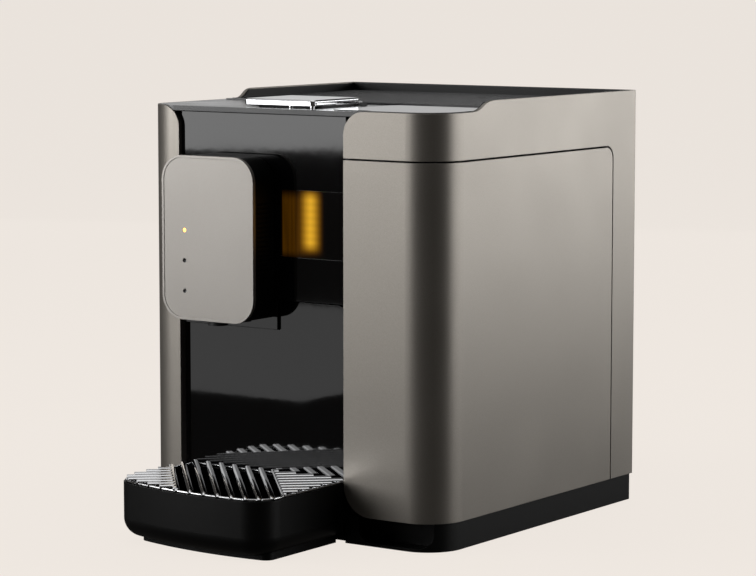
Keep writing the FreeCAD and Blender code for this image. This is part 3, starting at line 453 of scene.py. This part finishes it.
def grill_outline(x, front, back, inset):
    """The tray's outline in mm: straight sides, a bowed front and round front corners."""
    x0, x1 = x[0] + SIDE_STEP + inset, x[1] - inset
    front, corner = front + inset, CORNER_R - inset
    bow_centre = front + BOW_R
    arcs = []
    for centre_x, side_turn in ((x0 + corner, -math.pi), (x1 - corner, 0.0)):
        centre_y = bow_centre - math.sqrt((BOW_R - corner) ** 2 - (centre_x - BOW_X) ** 2)
        bow_turn = math.atan2(centre_y - bow_centre, centre_x - BOW_X)
        turns = [side_turn + (bow_turn - side_turn) * i / 8 for i in range(9)]
        arcs.append([(centre_x + corner * math.cos(t), centre_y + corner * math.sin(t)) for t in turns])
    left, right = arcs[0], arcs[1][::-1]
    bow = []
    for i in range(1, 24):
        bow_x = left[-1][0] + (right[0][0] - left[-1][0]) * i / 24
        bow.append((bow_x, bow_centre - math.sqrt(BOW_R ** 2 - (bow_x - BOW_X) ** 2)))
    return [(x0, back)] + left + bow + right + [(x1, back)]


def heading(turn_degrees):
    """A unit step in that direction; 0 is +X and 90 is +Y."""
    turn = math.radians(turn_degrees)
    return math.cos(turn), math.sin(turn)


def clip(origin, along, outline):
    """The part of a line inside a closed outline, or None."""
    hits = []
    for (ax, ay), (bx, by) in zip(outline, outline[1:] + outline[:1]):
        ex, ey = bx - ax, by - ay
        cross = along[0] * ey - along[1] * ex
        if abs(cross) < 1e-9:
            continue
        dx, dy = ax - origin[0], ay - origin[1]
        reach = (dx * ey - dy * ex) / cross
        share = (dx * along[1] - dy * along[0]) / cross
        if 0.0 <= share < 1.0:
            hits.append(reach)
    if len(hits) < 2 or max(hits) - min(hits) < 3.0:
        return None
    return min(hits), max(hits)


def field_lines(outline, turn, pitch, field, centre, z):
    """Rib centre lines of one direction, cut off by the outline and by the field's two edges.

    Ribs that run along the field's edges end at the front in a nose that bends down.
    """
    along, across, normal = heading(turn), heading(turn + 90.0), heading(RIB_TURN + 90.0)
    slope = along[0] * normal[0] + along[1] * normal[1]
    lines = []
    for i in range(-20, 21):
        step = (across[0] * i * pitch, across[1] * i * pitch)
        base = (centre[0] + step[0], centre[1] + step[1])
        reach = clip(base, along, outline)
        if reach is None:
            continue
        low, high = reach
        at = step[0] * normal[0] + step[1] * normal[1]
        if abs(slope) > 0.1:
            near, far = sorted(((field[0] - at) / slope, (field[1] - at) / slope))
            low, high = max(low, near), min(high, far)
        elif not field[0] < at < field[1]:
            continue
        drops = [(low, 0.0), (high, 0.0)]
        if abs(slope) <= 0.1:
            drops = [(low, 0.0), (high - NOSE_START, 0.0), (high + NOSE_REACH, NOSE_DROP)]
        if high - low > 2.0:
            lines.append([(base[0] + along[0] * t, base[1] + along[1] * t, z - drop) for t, drop in drops])
    return lines


def drip_grill():
    """Chrome grate: rounded ribs in three fields that meet at two slanting bars, inside a thin frame."""
    low, high = in_mm(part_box("drip_grill")[0]), in_mm(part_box("drip_grill")[1])
    centre = (MIDDLE[0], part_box("drawer_panel")[0].y / MM + MIDDLE[1])
    outline = grill_outline((low[0], high[0]), low[1], high[1] - 0.4, 1.0)
    frame_line = grill_outline((low[0], high[0]), low[1], high[1] - 0.9, 0.9)
    top = high[2]
    rib_z = top - RIB_SINK
    chrome = FINISHES["chrome"]
    middle = field_lines(outline, RIB_TURN, RIB_PITCH, SPLITS, centre, rib_z)
    sides = []
    for field in ((-400.0, SPLITS[0]), (SPLITS[1], 400.0)):
        sides += field_lines(outline, RIB_TURN + 90.0, SIDE_PITCH, field, centre, rib_z)
    bars = []
    across, along = heading(RIB_TURN + 90.0), heading(RIB_TURN)
    for split in SPLITS:
        base = (centre[0] + across[0] * split, centre[1] + across[1] * split)
        reach = clip(base, along, outline)
        bars.append([(base[0] + along[0] * t, base[1] + along[1] * t, top - 1.9) for t in reach])
    rim_line = [(x, y, top - 2.6) for x, y in frame_line + frame_line[:1]]
    parts = [swept(middle, RIB_W, RIB_H, RIB_EDGE, chrome), swept(sides, SIDE_W, RIB_H, RIB_EDGE, chrome),
             swept(bars, 2.2, 3.2, 0.9, chrome), swept([rim_line], 1.6, 1.6, 0.6, chrome)]
    grate = join("chrome_grate", parts)
    finish_piece(grate, "grill", "chrome", "drip_grill")


# ------------------------------------------------------------------ small visible pieces

def head_lights():
    """Three indicator lenses: the top one is lit and the others are dark."""
    lowest, highest = in_mm(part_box("led_lenses")[0]), in_mm(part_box("led_lenses")[1])
    x = (lowest[0] + highest[0]) / 2
    radius = (highest[0] - lowest[0]) / 2
    depth = highest[1] - lowest[1]
    places = [lowest[2] + radius, (lowest[2] + highest[2]) / 2, highest[2] - radius]
    dome = [(0.25, -0.10), (0.7, -0.05), (1.1, 0.10), (radius, 0.45), (radius, depth)]
    sunk = [(0.3, 1.0), (0.9, 0.9), (1.25, 0.5), (radius, 0.1), (radius, depth)]
    lit = join("lit_lens", [lathe(dome, (x, lowest[1], places[2]), FINISHES["amber_light"])])
    dark = [lathe(sunk, (x, lowest[1], z), FINISHES["gloss_black"]) for z in places[:2]]
    idle = join("idle_lenses", dark)
    finish_piece(lit, "brew_head", "amber_light", "led_lenses")
    finish_piece(idle, "brew_head", "gloss_black", "led_lenses")


def cup_ribs():
    """Fine ribs that keep upturned cups off the plate."""
    low, high = in_mm(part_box("cup_plate")[0]), in_mm(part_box("cup_plate")[1])
    lines = []
    y = low[1] + 3.0
    while y < high[1] - 3.0:
        lines.append([(low[0] + 4.0, y, high[2]), (high[0] - 4.0, y, high[2])])
        y += 4.0
    ribs = join("cup_plate_ribs", [swept(lines, 1.4, 0.9, 0.4, FINISHES["deck_black"])])
    finish_piece(ribs, "machine_body", "deck_black")


# ------------------------------------------------------------------ camera, light and floor

def place_camera():
    data = bpy.data.cameras.new("studio_camera")
    data.lens = 139.0
    data.sensor_width = 36.0
    camera = bpy.data.objects.new("studio_camera", data)
    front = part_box("drawer_panel")[0].y
    camera.location = (1.1770, front - 1.58385, 0.3926)
    camera.rotation_euler = (math.radians(90 - 6.395), 0.0, math.radians(34.806))
    bpy.context.scene.collection.objects.link(camera)
    bpy.context.scene.camera = camera


def softbox(name, place, aim, size, radiance):
    """A rectangular light of that radiance, where 1.0 would show as white."""
    data = bpy.data.lights.new(name, "AREA")
    data.shape = "RECTANGLE"
    data.size, data.size_y = size
    data.energy = radiance * math.pi * size[0] * size[1]
    light = bpy.data.objects.new(name, data)
    light.location = place
    direction = Vector(aim) - Vector(place)
    light.rotation_euler = direction.to_track_quat("-Z", "Y").to_euler()
    bpy.context.scene.collection.objects.link(light)
    return light


def upright_box(name, turn_degrees, reach, width, low, high, radiance):
    """A softbox that stands upright at that bearing from the machine; 0 is +X and 90 is +Y.

    Its width and its lower and upper edges are in metres, and so is its reach from the machine.
    """
    turn = math.radians(turn_degrees)
    x, y, z = reach * math.cos(turn), reach * math.sin(turn), (low + high) / 2
    light = softbox(name, (x, y, z), (0.0, 0.0, z), (width, high - low), radiance)
    light.rotation_euler = (math.radians(90), 0.0, turn + math.radians(90))


def light_studio():
    """Upright boxes for the lacquer and the gloss black, one overhead, and a low light in front."""
    upright_box("front_box", -125.0, 2.35, 1.7, 0.118, 1.15, 3.25)
    upright_box("left_box", -142.0, 2.0, 0.8, 0.25, 1.3, 4.4)
    upright_box("right_box", 40.0, 1.7, 2.2, 0.02, 0.70, 3.1)
    softbox("overhead_box", (0.0, 0.15, 1.9), (0.0, 0.15, 0.0), (2.6, 2.4), 0.95)
    upright_box("rear_card", 115.0, 2.3, 2.6, 0.05, 0.8, 0.55)
    softbox("table_bounce", (-0.64, -0.85, 0.004), (-0.64, -0.85, 1.0), (0.60, 0.60), 0.85)
    world = bpy.data.worlds.new("pale_studio")
    world.use_nodes = True
    tree = world.node_tree
    tree.nodes.clear()
    backdrop = add_node(tree, "ShaderNodeBackground", inputs={"Color": colour("#EDE6DE"), "Strength": 1.13})
    fill = add_node(tree, "ShaderNodeBackground", inputs={"Color": colour("#EEE7E0"), "Strength": 0.05})
    ray = add_node(tree, "ShaderNodeLightPath")
    mix = add_node(tree, "ShaderNodeMixShader", links={0: ray.outputs["Is Camera Ray"], 1: fill.outputs[0],
                                                       2: backdrop.outputs[0]})
    add_node(tree, "ShaderNodeOutputWorld", links={"Surface": mix.outputs[0]})
    bpy.context.scene.world = world
    bpy.context.scene.view_settings.view_transform = "Standard"


def lay_floor():
    """A pale seamless floor that takes a faint contact shadow and meets the backdrop in the same tone."""
    mesh = bpy.data.meshes.new("studio_floor")
    work = bmesh.new()
    bmesh.ops.create_grid(work, x_segments=1, y_segments=1, size=30.0)
    work.to_mesh(mesh)
    work.free()
    floor = bpy.data.objects.new("studio_floor", mesh)
    material, tree, shader = new_material("floor_paper", Roughness=1.0, Specular_IOR_Level=0.0,
                                          Emission_Strength=0.96)
    shader.inputs["Base Color"].default_value = colour("#4A4744")
    shader.inputs["Emission Color"].default_value = colour("#EEE7E0")
    mesh.materials.append(material)
    floor.visible_glossy = False
    floor.visible_diffuse = False
    bpy.context.scene.collection.objects.link(floor)


dress_cad_nodes()
drip_grill()
head_lights()
cup_ribs()
place_camera()
light_studio()
lay_floor()
